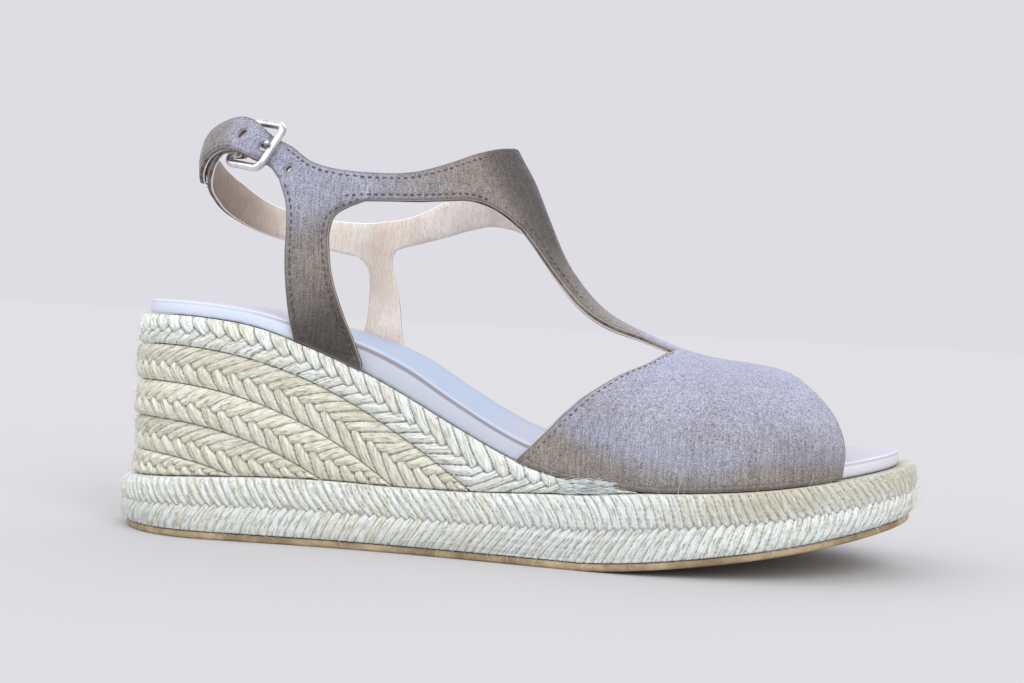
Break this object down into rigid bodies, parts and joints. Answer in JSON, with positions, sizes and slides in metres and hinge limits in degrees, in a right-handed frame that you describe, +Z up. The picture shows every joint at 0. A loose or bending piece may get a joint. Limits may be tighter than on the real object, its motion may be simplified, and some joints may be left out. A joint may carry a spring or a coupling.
{
  "type": "t-bar espadrille",
  "caption": "Open-toe wedge sandal with a suede T-bar upper, an ankle buckle and a braided rope wedge.",
  "frame": {"origin": "on the floor, under the middle of the shoe's bounding box", "axes": "+X runs to the toe, +Y to the medial side, +Z up from the floor"},
  "size_m": [0.25, 0.0918, 0.1293],
  "materials": {
    "outsole": "matt tan crepe rubber",
    "rope": "braided jute, dry and fibrous",
    "insole": "smooth pale leather",
    "upper": "taupe suede, napped outside, pale lining inside",
    "buckle": "bright nickel wire"
  },
  "bodies": {
    "root": {"outsole": "outsole", "platform": "rope", "rope_row_1": "rope", "rope_row_2": "rope", "rope_row_3": "rope", "rope_row_4": "rope", "rope_row_5": "rope", "insole": "insole", "upper": "upper", "buckle_frame": "buckle", "buckle_prong": "buckle"}
  },
  "joints": []
}
